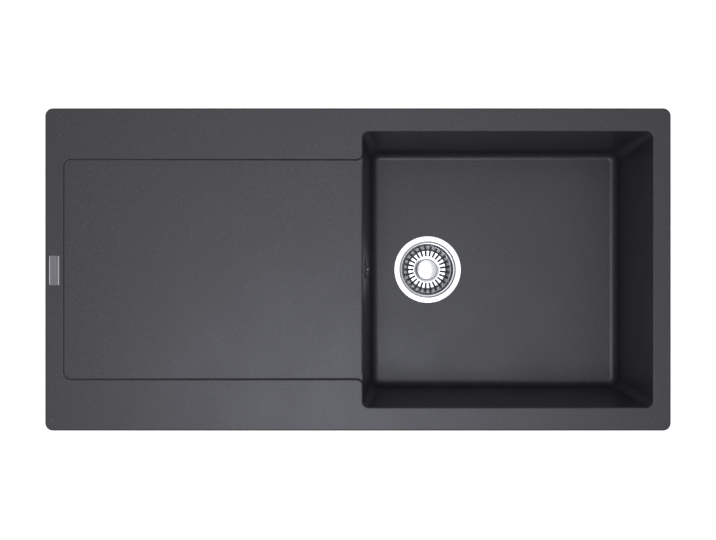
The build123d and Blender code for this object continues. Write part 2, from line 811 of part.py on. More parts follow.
with BuildPart() as overflow_screw:
    with BuildSketch(overflow_face.offset(overflow_cover_rise)):
        Circle(overflow_screw_head_radius)
    extrude(amount=overflow_screw_head_height)
    fillet(overflow_screw.faces().sort_by(overflow_axis)[-1].edges(), overflow_screw_head_height / 2)
    with BuildSketch(overflow_face.offset(overflow_cover_rise)):
        Circle(overflow_screw_radius)
    extrude(amount=-overflow_cover_rise - wall_across - overflow_seal_thickness - elbow_hub_length)
    with BuildSketch(overflow_face.offset(overflow_cover_rise + overflow_screw_head_height)):
        Rectangle(overflow_screw_radius * 2, sheet)
        Rectangle(sheet, overflow_screw_radius * 2)
    extrude(amount=-overflow_screw_head_height / 2, mode=Mode.SUBTRACT)
overflow_screw.part.label = "overflow_screw"
export_step(overflow_screw.part, "parts/overflow_screw.step")

with BuildPart() as overflow_seal:
    with BuildSketch(overflow_face.offset(-wall_across)):
        Circle(overflow_seal_radius)
        Circle(overflow_hole_radius + seat_gap, mode=Mode.SUBTRACT)
    extrude(amount=-overflow_seal_thickness)
overflow_seal.part.label = "overflow_seal"
export_step(overflow_seal.part, "parts/overflow_seal.step")

with BuildPart() as overflow_elbow:
    with BuildSketch(elbow_mouth):
        Circle(socket_radius)
    extrude(amount=-elbow_height)
    fillet(overflow_elbow.faces().sort_by(Axis.Z)[-1].edges(), elbow_wall)
    with BuildSketch(elbow_face):
        Circle(elbow_radius)
    extrude(amount=-elbow_reach)
    with BuildSketch(elbow_face):
        Circle(elbow_flange_radius)
    extrude(amount=-elbow_flange_thickness)
    # passage from the wall to the hose, with the hose's socket at its mouth
    with BuildSketch(elbow_face):
        Circle(overflow_hole_radius)
    extrude(amount=-elbow_reach, mode=Mode.SUBTRACT)
    with BuildSketch(elbow_mouth):
        Circle(hose_inner)
    extrude(amount=elbow_wall - elbow_height, mode=Mode.SUBTRACT)
    with BuildSketch(elbow_mouth):
        Circle(hose_radius + seat_gap)
    extrude(amount=-socket_depth, mode=Mode.SUBTRACT)
    # hub for the cover's screw on three ribs
    with BuildSketch(elbow_face):
        Circle(elbow_hub_radius)
        with PolarLocations(0, elbow_ribs, start_angle=90):
            with Locations((elbow_radius / 2, 0)):
                Rectangle(elbow_radius - elbow_wall / 2, elbow_rib_width)
        Circle(overflow_screw_radius + running_fit, mode=Mode.SUBTRACT)
    extrude(amount=-elbow_hub_length)
overflow_elbow.part.label = "overflow_elbow"
export_step(overflow_elbow.part, "parts/overflow_elbow.step")

# ---------------------------------------------------------------- hose and its unions

with BuildPart() as overflow_hose:
    with BuildLine() as hose_route:
        FilletPolyline(
            (elbow_x, 0, elbow_mouth_z + socket_depth),
            (elbow_x, 0, port_z),
            (port_end_x + socket_depth, 0, port_z),
            radius=hose_bend_radius,
        )
    with BuildSketch(Plane(origin=hose_route.line @ 0, z_dir=hose_route.line % 0)):
        Circle(hose_radius)
        Circle(hose_inner, mode=Mode.SUBTRACT)
    sweep(path=hose_route.line)
overflow_hose.part.label = "overflow_hose"
export_step(overflow_hose.part, "parts/overflow_hose.step")


def union_nut(mouth):
    """Ribbed nut that holds the hose in the socket whose mouth is given; +Z of it runs outwards."""
    sleeve = union_nut_length - union_nut_lip - hose_ring_thickness
    with BuildPart() as nut:
        with BuildSketch(mouth.offset(-sleeve)):
            Circle(union_nut_radius)
            with PolarLocations(union_nut_radius, union_nut_ribs):
                Rectangle(2 * union_nut_rib, 2 * union_nut_rib)
        extrude(amount=union_nut_length)
        with BuildSketch(mouth.offset(-sleeve)):
            Circle(socket_radius + running_fit)
        extrude(amount=sleeve + hose_ring_thickness, mode=Mode.SUBTRACT)
        with BuildSketch(mouth):
            Circle(hose_radius + seat_gap)
        extrude(amount=union_nut_length, mode=Mode.SUBTRACT)
    return nut.part


for nut_name, mouth in (("hose_nut_upper", elbow_mouth), ("hose_nut_lower", port_mouth)):
    hose_nut = union_nut(mouth)
    hose_nut.label = nut_name
    export_step(hose_nut, "parts/" + nut_name + ".step")

with BuildPart() as hose_rings:
    for mouth in (elbow_mouth, port_mouth):
        with BuildSketch(mouth):
            Circle(socket_radius - running_fit)
            Circle(hose_radius + running_fit, mode=Mode.SUBTRACT)
        extrude(amount=hose_ring_thickness)
hose_rings.part.label = "hose_rings"
export_step(hose_rings.part, "parts/hose_rings.step")

# ---------------------------------------------------------------- fixing clamps

clamp_tip_z = clamp_screw_engagement - boss_height
clamp_head_z = clamp_tip_z - clamp_screw_length

with BuildPart() as clamp_dowels:
    with BuildSketch(Plane.XY.offset(-boss_height)):
        with Locations(*clamp_points()):
            Circle(dowel_radius)
    extrude(amount=boss_height - dowel_top_gap - seat_gap)
    with BuildSketch(Plane.XY.offset(-boss_height)):
        with Locations(*clamp_points()):
            Circle(dowel_flange_radius)
    extrude(amount=-dowel_flange_thickness)
    with BuildSketch(Plane.XY.offset(-boss_height - dowel_flange_thickness)):
        with Locations(*clamp_points()):
            Circle(clamp_screw_radius + running_fit)
    extrude(amount=boss_height, mode=Mode.SUBTRACT)
clamp_dowels.part.label = "clamp_dowels"
export_step(clamp_dowels.part, "parts/clamp_dowels.step")


def clamp_screw(x, y):
    """Screw that hangs from its dowel with its head down."""
    with BuildPart() as screw:
        with BuildSketch(Plane.XY.offset(clamp_head_z)):
            with Locations((x, y)):
                Circle(clamp_screw_radius)
        extrude(amount=clamp_screw_length)
        chamfer(screw.faces().sort_by(Axis.Z)[-1].edges(), clamp_screw_chamfer)
        with BuildSketch(Plane.XY.offset(clamp_head_z)):
            with Locations((x, y)):
                Circle(clamp_head_radius)
        extrude(amount=-clamp_head_height)
        with BuildSketch(Plane.XY.offset(clamp_head_z - clamp_head_height)):
            with Locations((x, y)):
                RegularPolygon(clamp_socket_size, 6)
        extrude(amount=clamp_socket_depth, mode=Mode.SUBTRACT)
    return screw.part


def clamp_claw(x, y):
    """Bent steel claw on the screw's head, parked along the edge of the rim."""
    parked = radians(outward(x, y) - 90)
    seat = Plane(origin=(x, y, clamp_head_z), x_dir=(cos(parked), sin(parked), 0), z_dir=(0, 0, 1))
    along = Axis(seat.origin, seat.x_dir)
    across = Axis(seat.origin, seat.y_dir)
    with BuildPart() as claw:
        with BuildSketch(seat):
            Circle(claw_width / 2)
            Rectangle(claw_reach, claw_width, align=(Align.MIN, Align.CENTER))
        extrude(amount=claw_thickness)
        with BuildSketch(seat):
            with Locations((claw_reach, 0)):
                Rectangle(claw_thickness, claw_width, align=(Align.MAX, Align.CENTER))
        extrude(amount=claw_tip_height)
        bends = claw.edges().filter_by(across).group_by(along)
        fillet(bends[-1].sort_by(Axis.Z)[0], claw_bend_radius + claw_thickness)
        fillet(bends[-2].sort_by(Axis.Z)[0], claw_bend_radius)
        # notches that leave the tip its teeth
        tip_face = Plane(
            origin=seat.from_local_coords((claw_reach, 0, claw_tip_height)),
            x_dir=seat.y_dir, z_dir=seat.x_dir,
        )
        pitch = claw_width / claw_teeth
        with BuildSketch(tip_face):
            with GridLocations(pitch, 0, claw_teeth + 1, 1):
                with BuildLine():
                    Polyline((-pitch / 2, 0), (0, -claw_tooth_depth), (pitch / 2, 0), close=True)
                make_face()
        extrude(amount=-claw_thickness, mode=Mode.SUBTRACT)
        with BuildSketch(seat):
            Circle(clamp_screw_radius + running_fit)
        extrude(amount=claw_thickness, mode=Mode.SUBTRACT)
    return claw.part


for number, (x, y) in enumerate(clamp_points(), start=1):
    for piece_name, piece in (("clamp_screw", clamp_screw(x, y)), ("clamp_claw", clamp_claw(x, y))):
        piece.label = f"{piece_name}_{number}"
        export_step(piece, f"parts/{piece.label}.step")
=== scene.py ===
"""Kitchen sink with drainboard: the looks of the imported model, in metres and in its own frame."""
import math

import bmesh
import bpy
import numpy as np
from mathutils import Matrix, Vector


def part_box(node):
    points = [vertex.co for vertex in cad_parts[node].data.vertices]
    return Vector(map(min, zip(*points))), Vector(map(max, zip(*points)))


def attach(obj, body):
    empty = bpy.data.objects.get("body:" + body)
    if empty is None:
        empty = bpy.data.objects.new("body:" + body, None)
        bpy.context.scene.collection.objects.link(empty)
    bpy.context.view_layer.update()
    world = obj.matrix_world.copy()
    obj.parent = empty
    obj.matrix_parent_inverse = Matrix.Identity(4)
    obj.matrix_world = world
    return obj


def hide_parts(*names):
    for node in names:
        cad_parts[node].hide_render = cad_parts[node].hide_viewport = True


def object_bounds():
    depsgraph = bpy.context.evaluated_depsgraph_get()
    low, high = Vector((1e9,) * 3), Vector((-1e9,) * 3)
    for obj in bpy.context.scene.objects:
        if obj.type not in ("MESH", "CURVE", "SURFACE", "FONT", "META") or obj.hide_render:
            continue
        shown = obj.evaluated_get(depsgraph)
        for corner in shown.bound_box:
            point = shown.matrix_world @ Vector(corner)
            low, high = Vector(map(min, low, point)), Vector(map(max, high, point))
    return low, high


bl_info = {
    "name": "Kitchen sink with drainboard",
    "version": (1, 0, 0),
    "blender": (4, 5, 0),
    "location": "View3D > Sidebar > Sink",
    "description": "Composite sink with a basket waste, an overflow and fixing clamps",
    "category": "Object",
}

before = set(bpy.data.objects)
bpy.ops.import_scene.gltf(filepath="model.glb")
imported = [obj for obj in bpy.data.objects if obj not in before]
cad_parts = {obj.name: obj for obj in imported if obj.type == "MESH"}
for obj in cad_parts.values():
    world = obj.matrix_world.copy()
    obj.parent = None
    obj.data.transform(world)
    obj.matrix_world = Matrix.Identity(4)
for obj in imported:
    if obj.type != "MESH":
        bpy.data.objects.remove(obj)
cad_low, cad_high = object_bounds()
MM = 0.001


def centre(name):
    """Middle of a CAD node's box."""
    low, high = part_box(name)
    return (low + high) / 2


WASTE = centre("strainer_cup")
CLAMPS = range(1, 9)
WHITE = (1.0, 1.0, 1.0)


def linear(code):
    """An sRGB hex code turned to linear red, green and blue."""
    parts = [int(code[i:i + 2], 16) / 255 for i in (1, 3, 5)]
    return tuple(p / 12.92 if p <= 0.04045 else ((p + 0.055) / 1.055) ** 2.4 for p in parts)


# ---------------------------------------------------------------- sizes and colours a user may change


def colour(name, description, code):
    return bpy.props.FloatVectorProperty(
        name=name, description=description, subtype="COLOR", size=3, min=0, max=1, default=linear(code)
    )


def length(name, description, value):
    return bpy.props.FloatProperty(
        name=name, description=description, subtype="DISTANCE", unit="LENGTH", min=0, default=value
    )


class SinkColours(bpy.types.PropertyGroup):
    granite: colour("Granite", "Ground colour of the composite", "#323235")
    grain_dark: colour("Dark grain", "Darker clusters of grains", "#2B2B2D")
    grain_light: colour("Light grain", "Paler clusters of grains", "#3B3B3E")
    fleck_light: colour("Pale fleck", "Single pale grains at the skin", "#58585D")
    fleck_dark: colour("Dark fleck", "Single black grains at the skin", "#17171A")
    polished: colour("Polished steel", "Flange, basket and knob", "#DADBDD")
    satin: colour("Satin steel", "Inlay on the left ledge and overflow cover", "#848486")
    # painted shade: this dark colour stands for the shade deep inside the cup
    drawn: colour("Drawn steel", "Inside of the cup, as the press left it", "#505154")
    zinc: colour("Zinc", "Plated screws and claws", "#A9ABAE")
    brass: colour("Brass", "Nut inside the waste body", "#C8A254")
    white_plastic: colour("White polypropylene", "Waste body, elbow and hose", "#E3E3DF")
    black_plastic: colour("Black polypropylene", "Union nuts and washer", "#1D1D1F")
    nylon: colour("Nylon", "Dowels of the clamps", "#CFC9B8")
    rubber: colour("Rubber", "Seals and gaskets", "#1A1A1A")
    foam: colour("Foam", "Sealing strip under the rim", "#3A3A3C")
    floor: colour("Floor", "Studio floor", "#F2F2F2")
    lamp: colour("Lamp", "Cool tint of the studio's two lamps", "#EDF0FF")
    room: colour("Room", "Dark room above the backdrop, as the steel mirrors it", "#7C7C7E")


class SinkSizes(bpy.types.PropertyGroup):
    grain: length("Grain", "Width of a cluster of grains as it shows from two metres", 2.0 * MM)
    # below this depth the cup is duller and also darker, the darker colour being painted shade
    polish_and_shade_end: length("End of the polish", "How far below its flange the cup is still polished", 10 * MM)
    ledge_outer: length("Ledge outside", "Radius of the ledge's outer edge, in the flange's step", 46.9 * MM)
    ledge_inner: length("Ledge inside", "Radius where the ledge starts to turn down into the cup", 44.9 * MM)
    ledge_bore: length("Ledge bore", "Radius of the cup's bore at the ledge", 42.9 * MM)
    ledge_depth: length("Ledge depth", "From the flange's flat down to the ledge's outer edge", 1.3 * MM)
    ledge_fall: length("Ledge fall", "How far the ledge falls from its outside to its inside", 0.8 * MM)
    ledge_turn: length("Ledge turn", "Height of the rounded turn from the ledge into the cup", 1.5 * MM)
    bead_width: length("Bead width", "Width of the inlay's two polished beads", 0.7 * MM)
    bead_height: length("Bead height", "How far the inlay's beads stand above its flat", 0.2 * MM)
    bead_inset: length("Bead inset", "From the inlay's long edge to the middle of its bead", 1.0 * MM)
    hose_bend: length("Hose bend", "Radius of the hose's bend at its middle line", 55 * MM)
    hose_wall: length("Hose wall", "Thickness of the hose's wall", 1.2 * MM)
    hose_pitch: length("Hose pitch", "Distance from one rib of the hose to the next", 3.6 * MM)
    hose_rib: length("Hose rib", "How far a rib stands above the groove beside it", 1.6 * MM)
    hose_cuff: length("Hose cuff", "Smooth length at each end of the hose", 14 * MM)
    outlet_radius: length("Outlet", "Radius over the crests of the outlet's pipe thread", 23.9 * MM)
    outlet_length: length("Outlet length", "Length of the outlet's pipe thread", 24 * MM)
    outlet_pitch: length("Outlet pitch", "Pitch of the outlet's pipe thread", 2.31 * MM)
    outlet_depth: length("Outlet thread depth", "Depth of the outlet's pipe thread", 1.1 * MM)
    outlet_sleeve: length("Outlet sleeve", "Least thickness of the sleeve that carries the thread", 0.5 * MM)
    screw_radius: length("Screw", "Radius over the crests of a clamp screw", 2.5 * MM)
    screw_pitch: length("Screw pitch", "Pitch of a clamp screw", 0.8 * MM)
    screw_depth: length("Screw thread depth", "Depth of a clamp screw's thread", 0.45 * MM)
    head_height: length("Screw head", "Height of a clamp screw's head", 3.2 * MM)
    head_ease: length("Screw ease", "Bevel at a clamp screw's head, and half the one at its tip", 0.4 * MM)
    socket_radius: length("Socket", "Half the width across corners of a clamp screw's socket", 2.2 * MM)
    socket_depth: length("Socket depth", "Depth of a clamp screw's socket", 1.6 * MM)


class SinkStudio(bpy.types.PropertyGroup):
    camera_height: length("Camera height", "Height of the lens above the worktop", 1.938)
    camera_y: bpy.props.FloatProperty(
        name="Camera offset", description="How far the lens stands towards the back",
        subtype="DISTANCE", unit="LENGTH", default=-0.0008,
    )
    lens: bpy.props.FloatProperty(
        name="Lens", description="Focal length on a 36 mm sensor", default=62.65, min=10
    )
    sky: bpy.props.FloatProperty(
        name="Sky", description="Strength of the even light from all round", default=1.0, min=0
    )
    glow: bpy.props.FloatProperty(
        name="Glow", description="Strength of the floor's own white where it is seen", default=0.65, min=0
    )
    scrim: bpy.props.FloatProperty(
        name="Scrim", description="Power of the wide panel over the sink",
        subtype="POWER", default=7.6, min=0,
    )
    key: bpy.props.FloatProperty(
        name="Key", description="Power of the softbox over the front edge",
        subtype="POWER", default=12.6, min=0,
    )


# ---------------------------------------------------------------- surfaces


def quads(rows, columns, wrap_rows=False):
    """Four-cornered faces between neighbouring points of a grid whose columns go round."""
    r = np.arange(rows if wrap_rows else rows - 1)
    r, c = [g.ravel() for g in np.meshgrid(r, np.arange(columns), indexing="ij")]
    r2, c2 = (r + 1) % rows, (c + 1) % columns
    return np.stack([r * columns + c, r * columns + c2, r2 * columns + c2, r2 * columns + c], -1)


def turned(radii, heights, sides, closed_loop=False):
    """A surface about Z: the point at angle u of row i is (r cos u, r sin u, z), with z = heights[i]
    and r = radii[i], which may be one number or differ with u."""
    u = np.linspace(0, 2 * math.pi, sides, endpoint=False)
    r = np.broadcast_to(np.asarray(radii, float), (len(heights), sides))
    z = np.broadcast_to(np.asarray(heights, float)[:, None], r.shape)
    grid = np.stack([r * np.cos(u), r * np.sin(u), z], -1)
    return grid.reshape(-1, 3), quads(len(heights), sides, closed_loop)


def thread(radius, depth, pitch, heights, sides):
    """Radii of a screw thread: r = radius - depth * w, where w falls from 1 to 0 and rises again once
    in each pitch of z + pitch * u / 2 pi. It fades to the full radius over the first and last pitch."""
    u = np.linspace(0, 2 * math.pi, sides, endpoint=False)[None, :]
    z = np.asarray(heights, float)[:, None]
    wave = np.abs(2 * ((z / pitch + u / (2 * math.pi)) % 1.0) - 1)
    fade = np.clip(np.minimum(z - heights[0], heights[-1] - z) / pitch, 0, 1)
    return radius - depth * wave * fade


def bent_path(start, corner, end, bend, step):
    """Points a step apart along two runs that meet at a right angle in a round bend: the arc is
    corner + bend (a + b) - bend (b cos t + a sin t), with a and b the directions of the runs from
    their corner and t from 0 to 90 degrees. The points come with their distances along the path."""
    start, corner, end = (np.asarray(p, float) for p in (start, corner, end))
    a, b = start - corner, end - corner
    a, b = a / np.linalg.norm(a), b / np.linalg.norm(b)
    t = np.linspace(0, math.pi / 2, 40)[:, None]
    arc = corner + bend * (a + b) - bend * (b * np.cos(t) + a * np.sin(t))
    rough = np.concatenate([start[None], arc, end[None]])
    length = np.concatenate([[0], np.cumsum(np.linalg.norm(np.diff(rough, axis=0), axis=1))])
    s = np.linspace(0, length[-1], int(length[-1] / step) + 1)
    return s, np.stack([np.interp(s, length, rough[:, i]) for i in range(3)], -1)


def walled_tube(path, outer, inner, sides):
    """A tube along a path in the XZ plane: the point at angle u of the ring at s is
    path(s) + r(s) (cos u n(s) + sin u y), with n square to the path. The outer skin runs out and the
    inner one back, so the wall is closed at both ends."""
    along = np.gradient(path, axis=0)
    along /= np.linalg.norm(along, axis=1)[:, None]
    across = np.array([0.0, 1.0, 0.0])
    normal = np.cross(across, along)
    rows = np.concatenate([path, path[::-1]])[:, None]
    normal = np.concatenate([normal, normal[::-1]])[:, None]
    radii = np.concatenate([outer, inner[::-1]])[:, None, None]
    u = np.linspace(0, 2 * math.pi, sides, endpoint=False)[None, :, None]
    grid = rows + radii * (np.cos(u) * normal + np.sin(u) * across)
    return grid.reshape(-1, 3), quads(len(rows), sides, True)


def weld(mesh):
    """Merges points that lie on one another and turns the faces outward."""
    work = bmesh.new()
    work.from_mesh(mesh)
    bmesh.ops.remove_doubles(work, verts=work.verts, dist=1e-6)
    bmesh.ops.recalc_face_normals(work, faces=work.faces)
    work.to_mesh(mesh)
    work.free()


def reshaped(node, move):
    """A welded copy of a CAD node's mesh, whose points, an array of rows x, y, z, went through move."""
    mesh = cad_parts[node].data.copy()
    weld(mesh)
    points = np.empty(3 * len(mesh.vertices))
    mesh.vertices.foreach_get("co", points)
    mesh.vertices.foreach_set("co", move(points.reshape(-1, 3)).ravel())
    return mesh


def piece(name, mesh, finish, body, node=None, sharp=40):
    """An object of a mesh, welded, with edges over the given angle kept sharp. It rides on its body
    and, where a CAD node is named, stands for it."""
    weld(mesh)
    mesh.shade_smooth()
    mesh.set_sharp_from_angle(angle=math.radians(sharp))
    mesh.materials.clear()
    mesh.materials.append(material(finish))
    made = bpy.data.objects.new(name, mesh)
    bpy.context.scene.collection.objects.link(made)
    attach(made, body)
    if node:
        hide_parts(node)
    return made


def mesh_of(name, surface, place=(0, 0, 0)):
    """A mesh of computed points and faces, moved to its place."""
    points, faces = surface
    mesh = bpy.data.meshes.new(name)
    mesh.from_pydata((points + np.asarray(place, float)).tolist(), [], faces.tolist())
    return mesh


# ---------------------------------------------------------------- materials


def add(tree, kind, settings=None, links=None, ramp=()):
    """Adds one node: settings fill its sockets or its own properties, links feed its sockets, and a
    ramp lists the places and colours of a colour ramp."""
    node = tree.nodes.new(kind)
    for key, value in (settings or {}).items():
        if isinstance(key, int) or key in node.inputs:
            node.inputs[key].default_value = value
        else:
            setattr(node, key, value)
    for key, socket in (links or {}).items():
        tree.links.new(socket, node.inputs[key])
    for index, (place, tone) in enumerate(ramp):
        elements = node.color_ramp.elements
        element = elements[index] if index < 2 else elements.new(place)
        element.position, element.color = place, (*tone[:3], 1)
    return node


def start_material(name):
    """An empty material: its tree, and the object's own coordinates in metres."""
    made = bpy.data.materials.new(name)
    made.use_nodes = True
    tree = made.node_tree
    tree.nodes.clear()
    return made, tree, add(tree, "ShaderNodeTexCoord").outputs["Object"]


def finish_material(tree, settings, links):
    """The shader and the output. What is the same all over is set on the shader's own sockets."""
    shader = add(tree, "ShaderNodeBsdfPrincipled", settings, links)
    add(tree, "ShaderNodeOutputMaterial", links={"Surface": shader.outputs[0]})


def shade(tone, factor):
    """A colour made darker or lighter."""
    return tuple(min(1.0, part * factor) for part in tone)


def granite_composite(colours):
    """Quartz sand in acrylic resin, cast against a satin mould. Up close it is grains of many greys
    under a thin resin skin; from two metres it is a matt graphite with a faint salt and pepper and a
    soft, wide and weak gloss. The real grains are 0.1 to 0.6 mm, too fine to show, so clusters of
    them are drawn 2 mm wide and single pale or black ones 1 mm wide."""
    grain = bpy.context.scene.sink_sizes.grain
    made, tree, place = start_material("granite_composite_cast")
    clusters = add(tree, "ShaderNodeTexNoise",
                   {"Scale": 1 / grain, "Detail": 4.0, "Roughness": 0.6}, {"Vector": place})
    ground = add(tree, "ShaderNodeValToRGB", links={"Fac": clusters.outputs["Fac"]},
                 ramp=((0.34, colours.grain_dark), (0.68, colours.grain_light), (0.5, colours.granite)))
    cells = add(tree, "ShaderNodeTexVoronoi", {"Scale": 1 / grain}, {"Vector": place})
    pick = add(tree, "ShaderNodeSeparateColor", links={"Color": cells.outputs["Color"]})
    near = add(tree, "ShaderNodeMapRange", {"From Min": 0.2, "From Max": 0.4, "To Min": 1, "To Max": 0},
               {"Value": cells.outputs["Distance"]})
    tint = ground.outputs[0]
    # sparse single grains that lie right at the skin, pale and black
    for channel, tone in ((0, colours.fleck_light), (1, colours.fleck_dark)):
        chosen = add(tree, "ShaderNodeMapRange", {"From Min": 0.95, "From Max": 0.96},
                     {"Value": pick.outputs[channel]})
        shown = add(tree, "ShaderNodeMath", {"operation": "MULTIPLY"},
                    {0: chosen.outputs[0], 1: near.outputs[0]})
        tint = add(tree, "ShaderNodeMix", {"data_type": "RGBA", 7: (*tone, 1)},
                   {0: shown.outputs[0], 6: tint}).outputs[2]
    cloud = add(tree, "ShaderNodeTexNoise", {"Scale": 1 / (90 * MM), "Detail": 2.0}, {"Vector": place})
    gloss = add(tree, "ShaderNodeMapRange",
                {"From Min": 0.3, "From Max": 0.7, "To Min": 0.36, "To Max": 0.4},
                {"Value": cloud.outputs["Fac"]})
    skin = add(tree, "ShaderNodeBump", {"Strength": 0.5, "Distance": 0.06 * MM},
               {"Height": clusters.outputs["Fac"]})
    finish_material(tree, {"IOR": 1.5, "Specular IOR Level": 0.42}, {
        "Base Color": tint, "Roughness": gloss.outputs[0], "Normal": skin.outputs[0]})
    return made


def metal(name, tone, grain, low, high, depth, stretch=(1, 1, 1), dark=0.85):
    """A metal whose colour and gloss follow one fine noise, grain wide and drawn out by stretch."""
    made, tree, place = start_material(name)
    drawn = add(tree, "ShaderNodeMapping", {"Scale": tuple(1 / (grain * s) for s in stretch)},
                {"Vector": place})
    marks = add(tree, "ShaderNodeTexNoise", {"Scale": 1.0, "Detail": 4.0, "Roughness": 0.6},
                {"Vector": drawn.outputs[0]})
    tint = add(tree, "ShaderNodeValToRGB", links={"Fac": marks.outputs["Fac"]},
               ramp=((0.35, shade(tone, dark)), (0.65, tone)))
    gloss = add(tree, "ShaderNodeMapRange",
                {"From Min": 0.35, "From Max": 0.65, "To Min": low, "To Max": high},
                {"Value": marks.outputs["Fac"]})
    skin = add(tree, "ShaderNodeBump", {"Strength": 0.4, "Distance": depth},
               {"Height": marks.outputs["Fac"]})
    finish_material(tree, {"Metallic": 1.0}, {
        "Base Color": tint.outputs[0], "Roughness": gloss.outputs[0], "Normal": skin.outputs[0]})
    return made


def polished_stainless(colours):
    """18/10 stainless sheet, pressed and then polished: mirror-like, with a faint haze that blurs
    what it mirrors. Its scratches are too fine to show, and are drawn as a haze 1 mm wide."""
    return metal("stainless_steel_polished", colours.polished, 1.0 * MM, 0.18, 0.26, 0.004 * MM,
                 dark=0.94)


def drawn_and_shaded_stainless(colours):
    """The same sheet where it was deep drawn: polished from the flange to 10 mm below it, and from
    there, over 6 mm, more and more as the press left it, dull, so that it mirrors little. Over the same
    6 mm its colour turns much darker: that is painted shade deep in the cup, not the steel's own colour."""
    made, tree, place = start_material("stainless_steel_drawn_shaded")
    haze = add(tree, "ShaderNodeTexNoise", {"Scale": 1 / MM, "Detail": 4.0}, {"Vector": place})
    height = add(tree, "ShaderNodeSeparateXYZ", links={0: place})
    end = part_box("strainer_cup")[1].z - bpy.context.scene.sink_sizes.polish_and_shade_end
    depth = add(tree, "ShaderNodeMapRange", {"From Min": end - 6 * MM, "From Max": end},
                {"Value": height.outputs["Z"]})
    # painted shade: the colour runs from the dark colour deep in the cup up to the polished colour
    tint = add(tree, "ShaderNodeValToRGB", links={"Fac": depth.outputs[0]},
               ramp=((0.0, colours.drawn), (1.0, colours.polished)))
    # the duller gloss below the polish is the real finish the press left
    gloss = add(tree, "ShaderNodeMapRange", {"To Min": 0.5, "To Max": 0.15},
                {"Value": depth.outputs[0]})
    skin = add(tree, "ShaderNodeBump", {"Strength": 0.4, "Distance": 0.004 * MM},
               {"Height": haze.outputs["Fac"]})
    finish_material(tree, {"Metallic": 1.0}, {
        "Base Color": tint.outputs[0], "Roughness": gloss.outputs[0], "Normal": skin.outputs[0]})
    return made


def satin_stainless(colours):
    """Stainless sheet ground with a belt: fine straight lines along Y and a silky grey gloss. The
    real lines are 0.1 mm apart, too fine to show, and are drawn 1.5 mm apart."""
    return metal("stainless_steel_satin", colours.satin, 1.5 * MM, 0.5, 0.6, 0.006 * MM, (1, 80, 1), 0.6)


def zinc_plate(colours):
    """Steel, barrel plated with zinc: a cool grey with a cloudy, frosted bloom 3 mm wide."""
    return metal("steel_zinc_plated", colours.zinc, 3 * MM, 0.28, 0.45, 0.02 * MM, dark=0.78)


def turned_brass(colours):
    """Brass bar, turned: yellow, with turning marks 0.4 mm apart and a little tarnish."""
    return metal("brass_turned", colours.brass, 0.4 * MM, 0.22, 0.36, 0.01 * MM, (20, 20, 1), 0.8)


def soft(name, tone, grain, low, high, depth, ior, pale=1.0, dark=0.9):
    """A plastic, rubber or foam whose colour and gloss follow one cloudy noise, grain wide, with a
    finer skin a fifth of that."""
    made, tree, place = start_material(name)
    cloud = add(tree, "ShaderNodeTexNoise", {"Scale": 1 / grain, "Detail": 4.0}, {"Vector": place})
    pores = add(tree, "ShaderNodeTexNoise", {"Scale": 5 / grain, "Detail": 2.0}, {"Vector": place})
    tint = add(tree, "ShaderNodeValToRGB", links={"Fac": cloud.outputs["Fac"]},
               ramp=((0.35, shade(tone, dark)), (0.65, shade(tone, pale))))
    gloss = add(tree, "ShaderNodeMapRange",
                {"From Min": 0.35, "From Max": 0.65, "To Min": low, "To Max": high},
                {"Value": pores.outputs["Fac"]})
    skin = add(tree, "ShaderNodeBump", {"Strength": 0.5, "Distance": depth},
               {"Height": pores.outputs["Fac"]})
    finish_material(tree, {"IOR": ior}, {
        "Base Color": tint.outputs[0], "Roughness": gloss.outputs[0], "Normal": skin.outputs[0]})
    return made


def white_polypropylene(colours):
    """Polypropylene, injection moulded: even and slightly waxy, with a fine spark-eroded skin that
    scatters its gloss."""
    return soft("polypropylene_white", colours.white_plastic, 12 * MM, 0.32, 0.45, 0.05 * MM, 1.49,
                dark=0.94)


def black_polypropylene(colours):
    """The same plastic with carbon black: a soft grey sheen on black."""
    return soft("polypropylene_black", colours.black_plastic, 8 * MM, 0.38, 0.52, 0.06 * MM, 1.49, 1.3)


def natural_nylon(colours):
    """Nylon, moulded without a dye: milky and yellowish."""
    return soft("nylon_natural", colours.nylon, 5 * MM, 0.32, 0.42, 0.03 * MM, 1.53)


def pressed_rubber(colours):
    """EPDM rubber, pressed in a mould: dull black with a bloom of paler dust."""
    return soft("rubber_moulded", colours.rubber, 4 * MM, 0.6, 0.8, 0.05 * MM, 1.52, 1.9)


def closed_cell_foam(colours):
    """Closed-cell foam strip, cut from sheet: charcoal, all small pores, with no gloss."""
    return soft("foam_closed_cell", colours.foam, 3 * MM, 0.85, 0.95, 0.2 * MM, 1.45, 1.4, 0.6)


def floor_paint(colours):
    """Matt white floor paint, rolled on: plain, with a faint mottle 20 mm wide. Where the camera, a
    mirror or glass shows it, it shines a little of its own white, so that it matches the white
    backdrop and still takes the shadow."""
    made, tree, place = start_material("floor_paint_matt")
    mottle = add(tree, "ShaderNodeTexNoise", {"Scale": 1 / (20 * MM)}, {"Vector": place})
    tint = add(tree, "ShaderNodeValToRGB", links={"Fac": mottle.outputs["Fac"]},
               ramp=((0.3, shade(colours.floor, 0.985)), (0.7, colours.floor)))
    paint = add(tree, "ShaderNodeBsdfPrincipled", {"Roughness": 0.9, "IOR": 1.4},
                {"Base Color": tint.outputs[0]})
    rays = add(tree, "ShaderNodeLightPath").outputs
    seen = rays["Is Camera Ray"]
    for ray in ("Is Glossy Ray", "Is Transmission Ray"):
        seen = add(tree, "ShaderNodeMath", {"operation": "MAXIMUM"}, {0: seen, 1: rays[ray]}).outputs[0]
    glow = add(tree, "ShaderNodeMath",
               {"operation": "MULTIPLY", 1: bpy.context.scene.sink_studio.glow}, {0: seen})
    shine = add(tree, "ShaderNodeEmission", {"Color": (*WHITE, 1)}, {"Strength": glow.outputs[0]})
    both = add(tree, "ShaderNodeAddShader", links={0: paint.outputs[0], 1: shine.outputs[0]})
    add(tree, "ShaderNodeOutputMaterial", links={"Surface": both.outputs[0]})
    return made


